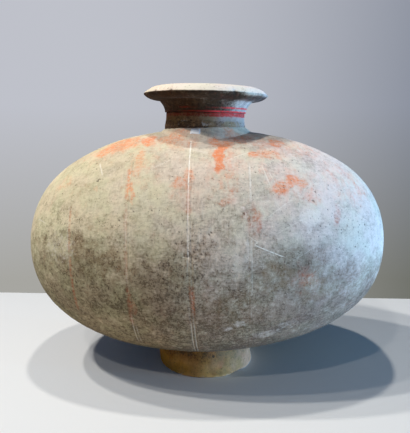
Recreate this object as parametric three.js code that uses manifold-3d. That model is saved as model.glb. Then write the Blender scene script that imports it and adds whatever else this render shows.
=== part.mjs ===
// A cocoon-shaped earthenware jar: a hollow cocoon lying on its side, with a short neck
// and a broad flanged mouth on top, and a low ring foot below.
// It is put together as a potter does it. Two thrown bowls are luted mouth to mouth, a
// band of clay is pressed over their seam inside, and a neck, a mouth and a foot, each
// thrown by itself, are luted on, with a coil of clay smeared into the corner round the
// neck and inside the foot.
// Millimetres. +Z is up and X runs along the cocoon. The origin is the middle of the
// foot's resting face, on the foot's axis.

import * as THREE from "three";
import { mergeVertices } from "three/addons/utils/BufferGeometryUtils.js";
import Module from "manifold-3d";

const wasm = await Module();
wasm.setup();

// Cocoon
const bodyRadius = 116.2;
const leftLength = 173.7; // from the widest section to the left end
const rightLength = 186.3;
const bodyWall = 8;
const bodyLean = 1.25; // degrees, the right end up
const endSwell = 1.97; // exponent along the length
const girthSwell = 2.56; // exponent of the radius: above 2 it gives the blunt ends
const slipGap = 0.3; // thickness of the slip between two luted faces

// Seam of the two bowls, and the pairs of lines turned into them
const seamPlace = -1.7; // from the widest section
const linePlaces = [-108, -53, 0, 50]; // middle of each pair, from the seam
const linePitch = 2.8; // from one line of a pair to the other
const lineWidth = 1.8;
const lineDepth = 0.9;

// Band of clay over the seam inside
const bandWidth = 34;
const bandThickness = 5;
const bandBevel = 3;

// Neck
const throatRadius = 31;
const neckWall = 9.1;
const neckHeight = 15.2; // from the cocoon's top to the joint with the mouth
const neckFlare = 1.2; // how much wider it is where it stands on the cocoon
const neckPlace = -1; // where its axis stands along X
const neckLean = 1.2; // degrees, the right side down
const neckNod = 1; // degrees, the front down

// Mouth
const jointStep = 1.1; // how far the mouth stands out over the neck at their joint
const funnelHeight = 11.9;
const funnelFlare = 7.5;
const flangeReach = 15; // from the top of the funnel out to the flange's edge
const flangeThickness = 6;
const flangeEdge = 1; // height of the blunt edge
const flangeSwell = 1.95; // exponent of the flange's slope: above 1 it bulges
const lipRise = 7.3; // from the flange's edge up to the lip
const lipWidth = 5;
const mouthOpening = 11.9; // how much wider the bore is at the lip than in the throat

// Foot
const footClearance = 17.9; // from the resting face up to the cocoon's underside
const footRadius = 51;
const footWall = 9;
const footTaper = 0.1; // narrowing for each millimetre of height
const footEdge = 1.3;

// Coils of clay smeared into the corners
const collarTop = 0.8; // height of the collar's level upper edge over the cocoon's top
const collarSpread = 1.3; // how far it reaches out for each millimetre of its height
const rootHeight = 6;
const rootSpread = 1.3;
const coilEdge = 0.6; // thickness left at a coil's thin edge

// How finely the round forms are faceted
const bowlTurns = 56;
const ringTurns = 44;
const bowlSteps = 11;
const curveSteps = 4;

const neckRadius = throatRadius + neckWall;
const axisHeight = footClearance + bodyRadius;
const widestPlace = (leftLength - rightLength) / 2;
const runOn = 6; // how far a form runs on past the surface that cuts it

// The frames that the pieces are thrown in
const jar = new THREE.Group();
const cocoonFrame = new THREE.Group();
cocoonFrame.position.set(widestPlace, 0, axisHeight);
cocoonFrame.rotation.y = -THREE.MathUtils.degToRad(bodyLean);
const neckFrame = new THREE.Group();
neckFrame.position.set(neckPlace, 0, axisHeight + bodyRadius);
neckFrame.rotation.x = THREE.MathUtils.degToRad(neckNod);
neckFrame.rotation.y = THREE.MathUtils.degToRad(neckLean);
const footFrame = new THREE.Group();
jar.add(cocoonFrame, neckFrame, footFrame);
jar.updateMatrixWorld(true);

// A geometry made in one frame, as it lies in another
function carried(geometry, from, to) {
  const way = to.matrixWorld.clone().invert().multiply(from.matrixWorld);
  return geometry.applyMatrix4(way);
}

// A closed geometry as a solid that can be cut
function solidOf(geometry) {
  geometry.deleteAttribute("normal");
  geometry.deleteAttribute("uv");
  const merged = mergeVertices(geometry, 1e-4);
  const index = merged.index.array;
  const corners = [];
  for (let i = 0; i < index.length; i += 3) {
    const [a, b, c] = [index[i], index[i + 1], index[i + 2]];
    if (a !== b && b !== c && c !== a) corners.push(a, b, c);
  }
  const mesh = new wasm.Mesh({
    numProp: 3,
    vertProperties: new Float32Array(merged.attributes.position.array),
    triVerts: new Uint32Array(corners),
  });
  return new wasm.Manifold(mesh);
}

// What is left of a piece when cutters that lie in its own frame are taken away
function cut(piece, ...cutters) {
  let solid = solidOf(piece);
  for (const cutter of cutters) solid = solid.subtract(solidOf(cutter));
  const mesh = solid.getMesh();
  const positions = new Float32Array(mesh.numVert * 3);
  for (let i = 0; i < mesh.numVert; i++) {
    const start = i * mesh.numProp;
    positions.set(mesh.vertProperties.subarray(start, start + 3), i * 3);
  }
  const geometry = new THREE.BufferGeometry();
  geometry.setAttribute("position", new THREE.BufferAttribute(positions, 3));
  geometry.setIndex(new THREE.BufferAttribute(mesh.triVerts, 1));
  geometry.computeVertexNormals();
  return geometry;
}

// Even steps from 0 to 1, both ends included
const shares = (steps) => Array.from({ length: steps + 1 }, (_, i) => i / steps);

const at = (radius, height) => new THREE.Vector2(radius, height);

// A piece thrown on the wheel, from a profile that runs up its outside
function thrown(profile, turns) {
  const closed = [...profile];
  if (profile[0].x > 0) closed.push(profile[0].clone());
  return new THREE.LatheGeometry(closed, turns);
}

const thrownUpright = (profile) => thrown(profile, ringTurns).rotateX(Math.PI / 2);
const thrownAlong = (profile) => thrown(profile, bowlTurns).rotateZ(-Math.PI / 2);

// Radius of the cocoon at a place along it, grown outwards by some amount
function cocoonRadius(place, grown = 0) {
  const length = (place < 0 ? leftLength : rightLength) + grown;
  const share = Math.min(1, Math.abs(place) / length);
  return (bodyRadius + grown) * (1 - share ** endSwell) ** (1 / girthSwell);
}

const alongCocoon = (place, grown = 0) => at(cocoonRadius(place, grown), place);

// Places from the widest section to one end, closer together towards the end
function placesToEnd(side, steps, grown = 0) {
  const length = (side < 0 ? leftLength : rightLength) + grown;
  return shares(steps).map((share) => side * length * Math.sin((share * Math.PI) / 2));
}

// The whole cocoon as a plain form, which cuts what is luted onto it
function cocoonForm(grown) {
  const left = placesToEnd(-1, bowlSteps * 2, grown).reverse();
  const right = placesToEnd(1, bowlSteps * 2, grown).slice(1);
  return thrownAlong([...left, ...right].map((place) => alongCocoon(place, grown)));
}

// Profile points of the pairs of turned lines on one side of the seam
function linePoints(side) {
  const points = [];
  for (const offset of linePlaces) {
    for (const line of [-linePitch / 2, linePitch / 2]) {
      for (const [edge, depth] of [[-0.5, 0], [0, lineDepth], [0.5, 0]]) {
        const place = seamPlace + offset + line + edge * lineWidth;
        if ((place - seamPlace) * side <= 0) continue;
        points.push(at(cocoonRadius(place) - depth, place));
      }
    }
  }
  return points;
}

// One thrown bowl of the cocoon. side is -1 for the left one and 1 for the right one
function bowl(side) {
  const mouth = seamPlace + (side * slipGap) / 2;
  const clear = (linePitch + lineWidth) / 2 + 1;
  const plain = placesToEnd(side, bowlSteps).filter((place) =>
    linePlaces.every((offset) => Math.abs(place - seamPlace - offset) > clear),
  );
  const outer = [alongCocoon(mouth), ...plain.map((place) => alongCocoon(place))];
  outer.push(...linePoints(side));
  outer.sort((a, b) => side * (a.y - b.y));
  const inner = placesToEnd(side, bowlSteps, -bodyWall)
    .filter((place) => (place - mouth) * side > 1)
    .reverse()
    .map((place) => alongCocoon(place, -bodyWall));
  const profile = [...inner, alongCocoon(mouth, -bodyWall), ...outer];
  return thrownAlong(side < 0 ? profile.reverse() : profile);
}

// The hole that the potter cuts through both bowls where the neck will stand
function throat() {
  const low = -2 * (bodyWall + bandThickness) - throatRadius;
  const profile = [at(0, low), at(throatRadius, low)];
  profile.push(at(throatRadius, runOn), at(0, runOn));
  return carried(thrownUpright(profile), neckFrame, cocoonFrame);
}

// The band of clay pressed over the seam from inside, thinner at its edges
function seamBand() {
  const outside = -bodyWall - slipGap;
  const inside = outside - bandThickness;
  const half = bandWidth / 2;
  const places = shares(curveSteps).map((share) => seamPlace + (share * 2 - 1) * half);
  return thrownAlong([
    ...places.map((place) => alongCocoon(place, outside)),
    alongCocoon(seamPlace + half - bandBevel, inside),
    alongCocoon(seamPlace, inside),
    alongCocoon(seamPlace - half + bandBevel, inside),
  ]);
}

// The neck, its outside grown by some amount. It runs on into the cocoon, which cuts it
// to the curve that it stands on
function neckForm(grown = 0) {
  const low = -throatRadius;
  const radius = neckRadius + grown;
  return thrownUpright([
    at(throatRadius, low),
    at(radius + neckFlare, low),
    at(radius + neckFlare, 0),
    at(radius + neckFlare / 2, neckHeight / 4),
    at(radius, neckHeight / 2),
    at(radius, neckHeight),
    at(throatRadius, neckHeight),
  ]);
}

// The mouth: a funnel that opens from the neck, the flange round it, which slopes down
// to its edge, and the lip on top
function mouth() {
  const low = neckHeight + slipGap;
  const funnelTop = neckHeight + funnelHeight;
  const funnelRadius = neckRadius + funnelFlare;
  const edgeHeight = funnelTop + flangeThickness;
  const edgeRadius = funnelRadius + flangeReach;
  const lipHeight = edgeHeight + lipRise;
  const lipRadius = throatRadius + mouthOpening + lipWidth;
  const funnel = shares(curveSteps).map((share) =>
    at(
      neckRadius + jointStep + (funnelFlare - jointStep) * share ** 2,
      low + (funnelTop - low) * share,
    ),
  );
  const underside = shares(curveSteps).map((share) =>
    at(
      funnelRadius + flangeReach * share,
      funnelTop + (flangeThickness - flangeEdge) * share ** 3,
    ),
  );
  const slope = shares(curveSteps).map((share) =>
    at(
      edgeRadius + (lipRadius - edgeRadius) * share,
      edgeHeight + lipRise * (1 - (1 - share) ** flangeSwell),
    ),
  );
  const bore = shares(curveSteps).map((share) =>
    at(
      throatRadius + mouthOpening * (1 - share) ** 1.5,
      lipHeight + (low - lipHeight) * share,
    ),
  );
  return thrownUpright([...funnel, ...underside.slice(1), ...slope, ...bore]);
}

// The foot, its inside grown inwards by some amount. It runs on into the cocoon, which
// cuts it to the curve that it carries
function footForm(grown = 0) {
  const meets = axisHeight - Math.sqrt(bodyRadius ** 2 - footRadius ** 2);
  const high = meets + runOn;
  const outside = (height) => footRadius - footTaper * height;
  const inside = (height) => outside(height) - footWall - grown;
  return thrownUpright([
    at(outside(0) - footEdge, 0),
    at(outside(footEdge), footEdge),
    at(outside(high), high),
    at(inside(high), high),
    at(inside(footEdge), footEdge),
    at(inside(0) + footEdge, 0),
  ]);
}

// Section of a coil smeared into a corner: distance out from the wall, and height over
// the cocoon. It runs on into the wall and the cocoon, which cut it
function coilSection(height, reach) {
  const cove = shares(curveSteps).map((share) => {
    const angle = (share * Math.PI) / 2;
    const rise = (height - coilEdge) * (1 - Math.cos(angle));
    return [reach * (1 - Math.sin(angle)), coilEdge + rise];
  });
  return [[-runOn, -coilEdge], [reach, -coilEdge], ...cove, [-runOn, height]];
}

// Distance of the cocoon's surface from the level plane of its axis
const surfaceAt = (x, y) => Math.sqrt(cocoonRadius(x) ** 2 - y ** 2);

// A coil of clay smeared into the corner between the cocoon and a ring that stands on
// it at a place along X. up is 1 on the cocoon's top and -1 on its underside. outwards
// is 1 for a coil outside the ring and -1 for one inside it. heightAt gives the coil's
// height at the wall from the distance of the cocoon's surface there
function smearedCoil(up, ringPlace, wallRadius, outwards, heightAt, spread) {
  const meeting = new THREE.Vector3(ringPlace, 0, axisHeight + up * bodyRadius);
  const middle = cocoonFrame.worldToLocal(meeting).x;
  const count = coilSection(1, 1).length;
  const points = [];
  const corners = [];
  for (let turn = 0; turn < ringTurns; turn++) {
    const angle = (turn / ringTurns) * Math.PI * 2;
    const wallX = middle + wallRadius * Math.cos(angle);
    const height = heightAt(surfaceAt(wallX, wallRadius * Math.sin(angle)));
    const section = coilSection(height, height * spread);
    for (let i = 0; i < count; i++) {
      const radius = wallRadius + outwards * section[i][0];
      const x = middle + radius * Math.cos(angle);
      const y = radius * Math.sin(angle);
      points.push(x, y, up * (surfaceAt(x, y) + section[i][1]));
      const here = turn * count + i;
      const next = turn * count + ((i + 1) % count);
      const beyond = ((turn + 1) % ringTurns) * count;
      const hereOn = beyond + i;
      const nextOn = beyond + ((i + 1) % count);
      corners.push(here, hereOn, next, next, hereOn, nextOn);
    }
  }
  const geometry = new THREE.BufferGeometry();
  geometry.setAttribute("position", new THREE.Float32BufferAttribute(points, 3));
  geometry.setIndex(corners);
  return geometry;
}

function collar() {
  const levelTop = (surface) => bodyRadius + collarTop - surface;
  const wallRadius = neckRadius + neckFlare;
  const coil = smearedCoil(1, neckPlace, wallRadius, 1, levelTop, collarSpread);
  const wall = carried(neckForm(slipGap), neckFrame, cocoonFrame);
  return cut(coil, wall, cocoonForm(slipGap));
}

function rootCoil() {
  const wallRadius = footRadius - footTaper * footClearance - footWall;
  const coil = smearedCoil(-1, 0, wallRadius, -1, () => rootHeight, rootSpread);
  const wall = carried(footForm(slipGap), footFrame, cocoonFrame);
  return cut(coil, wall, cocoonForm(slipGap));
}

const clay = (color, roughness) =>
  new THREE.MeshStandardMaterial({ color, roughness, metalness: 0 });
const bodySlip = clay(0xb9ad9a, 0.88);
const innerClay = clay(0x7d766c, 0.95);
const neckClay = clay(0x6f675e, 0.9);
const collarClay = clay(0x9a8f80, 0.9);
const mouthSlip = clay(0xd6cdbb, 0.88);
const footClay = clay(0xa18c68, 0.92);

function add(frame, name, geometry, material) {
  const mesh = new THREE.Mesh(geometry, material);
  mesh.name = name;
  frame.add(mesh);
}

const cocoonSeenFrom = (frame) => carried(cocoonForm(slipGap), cocoonFrame, frame);
add(cocoonFrame, "body_left_half", cut(bowl(-1), throat()), bodySlip);
add(cocoonFrame, "body_right_half", cut(bowl(1), throat()), bodySlip);
add(cocoonFrame, "inner_seam_band", cut(seamBand(), throat()), innerClay);
add(neckFrame, "neck", cut(neckForm(), cocoonSeenFrom(neckFrame)), neckClay);
add(cocoonFrame, "neck_collar", collar(), collarClay);
add(neckFrame, "mouth_rim", cut(mouth()), mouthSlip);
add(footFrame, "foot_ring", cut(footForm(), cocoonSeenFrom(footFrame)), footClay);
add(cocoonFrame, "foot_root_coil", rootCoil(), innerClay);

export default jar;
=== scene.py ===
"""A cocoon-shaped earthenware jar, dressed round its CAD frame.

Every piece is a mesh made here, with throwing ripples, turned lines, pits and chips.
Soil, pigment, chalk and stains are painted on the meshes as named marks, and the
materials break them up with procedural noise. Some marks also hold painted light and
shade: cool light towards the right, shade on the left sides, under the flange and under
the body, and a highlight along the foot's resting edge.
Sizes are millimetres until a mesh is made. The cocoon's surface has two coordinates:
place, along the cocoon from its widest section, and turn, in degrees round it from the
top towards the viewer.
"""

import math

import bpy
import numpy as np
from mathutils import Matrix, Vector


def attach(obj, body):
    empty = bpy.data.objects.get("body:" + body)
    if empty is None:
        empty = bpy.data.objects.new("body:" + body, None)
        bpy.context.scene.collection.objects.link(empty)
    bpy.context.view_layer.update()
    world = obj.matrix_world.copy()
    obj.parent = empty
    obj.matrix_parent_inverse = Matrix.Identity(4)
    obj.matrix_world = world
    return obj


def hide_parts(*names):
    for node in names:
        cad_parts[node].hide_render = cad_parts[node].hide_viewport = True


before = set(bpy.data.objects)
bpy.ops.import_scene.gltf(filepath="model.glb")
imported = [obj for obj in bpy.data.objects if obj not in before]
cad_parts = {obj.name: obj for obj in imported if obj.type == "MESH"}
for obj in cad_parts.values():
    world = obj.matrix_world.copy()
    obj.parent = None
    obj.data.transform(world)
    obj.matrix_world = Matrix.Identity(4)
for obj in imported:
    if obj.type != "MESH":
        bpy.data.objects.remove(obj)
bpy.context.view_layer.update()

MM = 0.001

# Cocoon, as in the CAD
BODY_RADIUS = 116.2
LEFT_LENGTH = 173.7
RIGHT_LENGTH = 186.3
BODY_WALL = 8
BODY_LEAN = 1.25
END_SWELL = 1.97
GIRTH_SWELL = 2.56
SLIP_GAP = 0.3
SEAM_PLACE = -1.7
LINE_PLACES = (-108, -53, 0, 50)
LINE_PITCH = 2.8
LINE_DEPTHS = (0.14, 0.18, 0.2, 0.08)

# Neck and mouth, as in the CAD
THROAT_RADIUS = 31
NECK_RADIUS = 40.1
NECK_HEIGHT = 15.2
NECK_FLARE = 1.2
NECK_PLACE = -1
NECK_LEAN = 1.2
NECK_NOD = 1
JOINT_STEP = 1.1
FUNNEL_HEIGHT = 11.9
FUNNEL_FLARE = 7.5
FLANGE_REACH = 15
FLANGE_THICKNESS = 6
FLANGE_EDGE = 1
FLANGE_SWELL = 1.95
LIP_RISE = 7.3
LIP_WIDTH = 5
MOUTH_OPENING = 11.9

# Foot and coils, as in the CAD
FOOT_CLEARANCE = 17.9
FOOT_RADIUS = 51
FOOT_WALL = 9
FOOT_TAPER = 0.1
COLLAR_TOP = 0.8
COLLAR_SPREAD = 1.3
ROOT_HEIGHT = 6
ROOT_SPREAD = 1.3
COIL_EDGE = 0.6
BAND_WIDTH = 34
BAND_THICKNESS = 5

# Beyond the CAD: the foot's rounder edge, thumb marks and a paper tag
FOOT_EDGE = 2.6
THUMB_MARKS = 34
THUMB_DEPTH = 0.8
TAG_ANGLES = (-105.7, -93.5)
TAG_ROWS = (0.05, 0.17, 0.3, 0.45)
TAG_THICKNESS = 0.4

# Heights where pieces start and stop before they are cut or pressed to the cocoon
NECK_FOOT = -12
NECK_SINK = 0.8
FOOT_TOP = 34
FOOT_SINK = 1.5
THROAT_CUT = (-40, 12)

AXIS_HEIGHT = FOOT_CLEARANCE + BODY_RADIUS
WIDEST_PLACE = (LEFT_LENGTH - RIGHT_LENGTH) / 2
TOP_HEIGHT = AXIS_HEIGHT + BODY_RADIUS
MOUTH_FOOT = NECK_HEIGHT + SLIP_GAP
FUNNEL_TOP = NECK_HEIGHT + FUNNEL_HEIGHT
EDGE_HEIGHT = FUNNEL_TOP + FLANGE_THICKNESS
EDGE_RADIUS = NECK_RADIUS + FUNNEL_FLARE + FLANGE_REACH

# How finely the meshes are made
SKIN_STEP = 1.6
SKIN_TURNS = 408
RING_TURNS = 360
THROAT_TURNS = 180
NECK_STEP = 0.9
MOUTH_STEP = 0.95
FOOT_STEP = 1
LINE_ROWS = (-0.75, -0.4, 0, 0.4, 0.75)
NOISE_CELLS = 32

# Middle and depth of each turned line, two lines at each place
TURNED_LINES = [
    (SEAM_PLACE + place + side * LINE_PITCH, depth)
    for place, depth in zip(LINE_PLACES, LINE_DEPTHS)
    for side in (-0.5, 0.5)
]

# The photo's camera: place in metres, dip and turn in degrees, lens in millimetres
CAMERA_PLACE = (0.021, -0.4821, 0.242)
CAMERA_DIP = 9.84
CAMERA_TURN = 2.62
CAMERA_LENS = 38.28
CAMERA_SENSOR = 36

# Round lamps: name, place, target and width in metres, watts, colour
JAR_MIDDLE = (0, 0, 0.13)
WARM_LIGHT = (1, 0.97, 0.92)
WINDOW_LIGHT = (0.36, 0.66, 1)
LAMPS = [
    ("lamp_over", (-0.03, -0.075, 1.5), JAR_MIDDLE, 0.06, 6.2, WARM_LIGHT),
    ("lamp_left", (-0.74, -0.115, 1.5), JAR_MIDDLE, 0.06, 7.4, WARM_LIGHT),
    ("lamp_front_left", (-0.83, -0.4, 1.5), JAR_MIDDLE, 0.06, 8.8, WARM_LIGHT),
    ("lamp_left_small", (-0.7, -0.55, 1.5), JAR_MIDDLE, 0.06, 3.3, WARM_LIGHT),
    ("lamp_front", (-0.44, -1.15, 1.5), JAR_MIDDLE, 0.06, 3.3, WARM_LIGHT),
    ("lamp_window", (1.2, -0.18, 0.022), (0.1, 0, 0.14), 0.04, 20.3, WINDOW_LIGHT),
]

# The floor slab, which ends behind the jar and to its right, and its two colours
FLOOR_LEFT_RIGHT = (-2200, 620)
FLOOR_NEAR_FAR = (-2000, 197)
FLOOR_THICKNESS = 20
FLOOR_SEEN = (0.785, 0.79, 0.785)
FLOOR_BOUNCE = (0.56, 0.5, 0.42)

# Light from all round, weaker from behind, and the wall, from its left to its right end
FILL_LIGHT = (0.16, 0.47, 1)
FILL_BEHIND = 0.06
FILL_IN_FRONT = 0.26
# The parts of a direction between which light and wall change
FILL_FADE = (0.1, -0.9)
WALL_FADE_ACROSS = (-0.35, 0.42)
WALL_FADE_DOWN = (0.06, -0.28)
WALL_BEND = 2.2
# The wall's colours high and low, each from its left to its right end: painted light and shade,
# paler up to the left and darker down to the right
WALL_HIGH = ((0.52, 0.535, 0.59), (0.22, 0.245, 0.305))
WALL_LOW = ((0.385, 0.38, 0.355), (0.13, 0.137, 0.118))

# Marks on the cocoon: place from and to, turn from and to, strength
RED_MARKS = [
    (-112, -26, 6, 34, 0.3), (-58, -28, 26, 56, 0.3), (-28, 6, 14, 34, 0.4),
    (-20, 4, 48, 66, 0.28), (8, 44, 20, 62, 0.3), (44, 120, 10, 32, 0.42),
    (60, 116, 40, 62, 0.3), (116, 165, 22, 60, 0.35), (40, 66, 60, 78, 0.28),
    (80, 112, 86, 106, 0.3), (-97, -50, 10, 29, 0.85), (-50, -34, 15, 27, 0.95),
    (-54, -43, 27, 48, 0.62), (-57, -53, 50, 63, 0.75), (-132, -116, 35, 47, 0.35),
    (-90, -84, 49, 53, 0.5), (-21, -9, 51, 56, 0.6), (-9, 0, 46, 59, 0.68),
    (-6, 0, 61, 68, 0.5), (-34, -6, 16, 27, 0.7), (-8, 0, 24, 30, 0.5),
    (20.5, 28.5, 27, 47, 1.4), (23, 29, 46, 56, 0.6), (30, 35, 31, 57, 0.6),
    (18, 37, 58, 64, 0.55), (12, 36, 23, 31, 0.85), (25, 60, 16, 27, 0.68),
    (57, 68, 25, 39, 0.62), (50, 60, 32, 38, 0.8), (68, 86, 15, 26, 0.95),
    (62, 78, 29, 37, 0.72), (88, 116, 12, 25, 0.45), (58, 66, 37, 48, 0.35),
    (66, 82, 49, 58, 0.85), (78, 93, 45, 53, 0.98), (90, 101, 47, 54, 0.75),
    (97, 112, 51, 61, 0.5), (121, 131, 60, 71, 0.7), (131, 150, 25, 38, 0.45),
    (146, 162, 36, 50, 0.5), (44, 50, 65, 72, 0.55), (50, 61, 65, 74, 0.72),
    (86, 104, 91, 101, 0.55), (-57, -50, 99, 114, 0.42), (-4, 3, 98, 110, 0.45),
]
CHALK_MARKS = [
    (92, 110, 63, 72, 0.95), (97, 102, 71, 76, 0.7), (26, 49, 84, 93, 0.34),
    (22, 34, 118.5, 122, 0.62), (31, 44, 115.5, 119.5, 0.66), (45, 49, 78, 84, 0.5),
    (44, 48, 92, 99, 0.5), (50, 78, 127, 133, 0.5), (70, 92, 122, 128, 0.4),
    (-138, -104, 72, 92, 0.36), (41.5, 44.5, 63, 65.5, 1), (43.5, 46.5, 66.5, 68.5, 1),
    (-60, -44, 52, 64, 0.16),
]
OCHRE_MARKS = [
    (-125, -60, 74, 96, 0.35), (60, 86, 88, 102, 0.5), (-172, -140, 60, 100, 0.3),
    (-95, -45, 84, 98, 0.3), (10, 60, 98, 122, 0.3), (90, 125, 96, 112, 0.35),
]

# Darker soil, and places wiped cleaner
SOIL_MARKS = [
    (-112, -58, 82, 101, 0.16), (-48, -6, 88, 104, 0.22), (-34, 8, 77, 84, 0.06),
    (56, 118, 80, 98, 0.14), (-150, -95, 72, 79, 0.3), (15, 75, 63, 78, 0.16),
    (-70, -40, 102, 116, 0.2), (-10, 40, 108, 126, 0.1),
]
CLEAN_MARKS = [
    (-136, -112, 74, 87, 0.35), (8, 46, 82, 92, 0.34), (-82, -62, 92, 100, 0.2),
    (-176, -150, 78, 98, 0.3), (-34, -4, 92, 104, 0.14), (-100, -60, 44, 68, 0.12),
]

# Zones full of fine dark specks
SPECK_MARKS = [
    (-36, 18, 80, 108, 0.95), (-16, 16, 74, 86, 0.75), (-150, -96, 58, 84, 0.6),
    (-96, -60, 66, 100, 0.4), (-80, -40, 84, 112, 0.4), (105, 165, 60, 88, 0.4),
    (60, 110, 78, 104, 0.5), (14, 40, 84, 104, 0.5), (60, 96, 32, 50, 0.2),
]

# Fine scratches: place and turn of both ends, half width, strength
SCRATCHES = [
    (52, 80.5, 76, 86, 0.42, 1), (48, 77, 58, 81, 0.4, 0.5), (26, 42, 50, 34, 0.4, 0.45),
    (60, 42, 66, 53, 0.5, 0.5), (66, 46, 71, 52, 0.4, 0.4), (84, 88, 104, 82, 0.4, 0.2),
    (60, 70, 84, 60, 0.4, 0.35), (70, 76, 96, 68, 0.4, 0.3), (-10, 32, 12, 36, 0.4, 0.35),
    (-34, 44, -20, 40, 0.4, 0.3), (96, 98, 118, 90, 0.4, 0.15), (-88, 34, -82, 44, 0.5, 0.5),
    (-150, 60, -138, 66, 0.4, 0.4), (104, 40, 128, 46, 0.4, 0.3),
]

# Stretches of the turned lines that show pale or red: place, turn from and to, strength
PALE_LINES = [
    (-3.1, 10, 90, 1), (-3.1, 114, 150, 0.6), (-0.3, 116, 150, 0.55), (-56.1, 60, 100, 0.25),
    (-56.1, 112, 140, 0.45), (-53.3, 118, 140, 0.35), (49.7, 40, 64, 0.5), (46.9, 44, 58, 0.3),
    (49.7, 64, 104, 0.24), (-111.1, 56, 100, 0.12),
]
RED_LINES = [
    (-56.2, 40, 62, 0.9), (-56.2, 60, 98, 0.4), (-56.2, 96, 122, 0.5), (-109.6, 84, 122, 0.75),
    (-109.6, 58, 86, 0.55), (-3.2, 52, 72, 0.45), (-0.4, 96, 114, 0.75), (-4.6, 22, 34, 0.4),
]

# Dark holes: place, turn, radius
PITS = [
    (-86, 47, 2.6), (-84.5, 46, 2), (-90, 38, 1.6), (-88, 54, 1.3), (-33, 65, 2.3),
    (-49, 65.5, 1.7), (-55, 65, 1.5), (-60, 70, 1.9), (-62, 69, 1.5), (-7, 74.5, 1.8),
    (16, 75, 2.4), (14.5, 76, 1.6), (31, 72.5, 1.8), (54, 47, 2), (102.5, 59, 2.1),
    (105, 59.5, 1.9), (60, 37, 1.4), (76, 33, 1.3), (73, 41, 1.2), (46, 31, 1.2),
    (122, 67, 1.5), (152, 64, 1.8), (152.5, 69, 1.8), (98, 74, 1.3), (39, 68.5, 1.4),
    (43.5, 66.8, 2), (-109, 63, 1.5), (2, 83, 2.4), (4.5, 82, 2), (0, 85, 1.8),
    (-4, 85, 2.3), (-19, 88, 1.9), (-24, 90, 1.9), (-9, 89, 1.5), (-4, 101, 2.1),
    (10, 95, 1.5), (-13, 98, 1.4), (-38, 96, 1.6), (-80, 95, 1.8), (33, 92, 1.4),
    (78, 54, 1.4), (72, 56, 1.2), (100, 55, 1.2), (106, 54, 1.1), (85, 51, 1.1),
]

# A hole in the foot: angle, height
FOOT_HOLE = (-78.5, 23)

# Chips in the flange's edge: angle, half width in degrees, depth
CHIPS = [(-139, 5, 1.6), (-118, 2.5, 1.2), (-62, 3, 1.3), (40, 4, 1.5), (150, 6, 1.4)]


def smooth(values, low, high):
    """0 below low, 1 above high, and a soft step between."""
    share = np.clip((values - low) / (high - low), 0, 1)
    return share * share * (3 - 2 * share)


def fade(values, low, high):
    """1 below low, 0 above high, and a soft step between."""
    return 1 - smooth(values, low, high)


def lumps(points, size, seed):
    """Smooth noise from -1 to 1, with lumps of about this size."""
    table = np.random.default_rng(seed).uniform(-1, 1, (NOISE_CELLS,) * 3)
    cell = np.floor(points / size).astype(int)
    share = points / size - cell
    share = share * share * (3 - 2 * share)
    total = np.zeros(len(points))
    for corner in np.ndindex(2, 2, 2):
        near = np.where(corner, share, 1 - share).prod(axis=1)
        i, j, k = ((cell + corner) % NOISE_CELLS).T
        total += near * table[i, j, k]
    return total


def uneven(points, seed, *layers):
    """The sum of lumps of several sizes, each given as its size and strength."""
    return sum(much * lumps(points, size, seed + n) for n, (size, much) in enumerate(layers))


def cloud(points, size, seed, octaves=3):
    """Noise in several sizes, each half as large and as strong as the one before."""
    return sum(lumps(points, size / 2**n, seed + n) / 2**n for n in range(octaves))


def turned(x, z, degrees):
    """A point turned in the XZ plane, its +X end rising for a positive angle."""
    c = math.cos(math.radians(degrees))
    s = math.sin(math.radians(degrees))
    return c * x - s * z, s * x + c * z


def once_round(count):
    """Angles once round a circle."""
    return np.linspace(0, 2 * math.pi, count, endpoint=False)


def cocoon_radius(place, grown=0):
    """The cocoon's radius at a place, on its surface or on one parallel to it."""
    length = np.where(place < 0, LEFT_LENGTH, RIGHT_LENGTH) + grown
    share = np.clip(np.abs(place) / length, 0, 1)
    return (BODY_RADIUS + grown) * (1 - share**END_SWELL) ** (1 / GIRTH_SWELL)


def from_cocoon(place, y, up):
    """A point of the cocoon's own frame in the row frame."""
    x, z = turned(place, up, BODY_LEAN)
    return np.stack([x + WIDEST_PLACE, y, z + AXIS_HEIGHT], axis=-1)


def hoop(place, radius, angle):
    """Points at angles round the cocoon's axis, from the top towards the viewer."""
    along = np.full(len(angle), place)
    return from_cocoon(along, -radius * np.sin(angle), radius * np.cos(angle))


def to_cocoon(points):
    """Place, turn and distance from the cocoon's axis of points in the row frame."""
    place, up = turned(points[:, 0] - WIDEST_PLACE, points[:, 2] - AXIS_HEIGHT, -BODY_LEAN)
    turn = np.degrees(np.arctan2(-points[:, 1], up))
    return place, turn, np.hypot(points[:, 1], up)


def on_cocoon(place, y, side):
    """The point of the cocoon's top (side 1) or underside (side -1) at a place and y."""
    radius = cocoon_radius(place)
    return from_cocoon(place, y, side * np.sqrt(np.maximum(radius**2 - y**2, 0)))


def from_neck(x, y, height):
    """A point of the leaning neck's frame in the row frame."""
    x, up = turned(x, height, -NECK_LEAN)
    y, z = turned(y, up, NECK_NOD)
    return np.stack([x + NECK_PLACE, y, z + TOP_HEIGHT], axis=-1)


def upright_on_neck(radius, height, around):
    return from_neck(radius * np.cos(around), radius * np.sin(around), height)


def marks_at(marks, place, turn, points, ragged):
    """How strongly the painted marks cover each point, with ragged edges."""
    along = place + ragged * uneven(points, 71, (14, 3.5), (5, 2))
    around = turn + ragged * uneven(points, 73, (14, 1.8), (5, 1))
    cover = np.zeros(len(place))
    for p0, p1, t0, t1, strength in marks:
        a = np.abs(along - (p0 + p1) / 2) / ((p1 - p0) / 2)
        b = np.abs(around - (t0 + t1) / 2) / ((t1 - t0) / 2)
        inside = fade(a**2.4 + b**2.4, 0.25, 1.7)
        cover = np.maximum(cover, strength * inside)
    return cover


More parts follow.
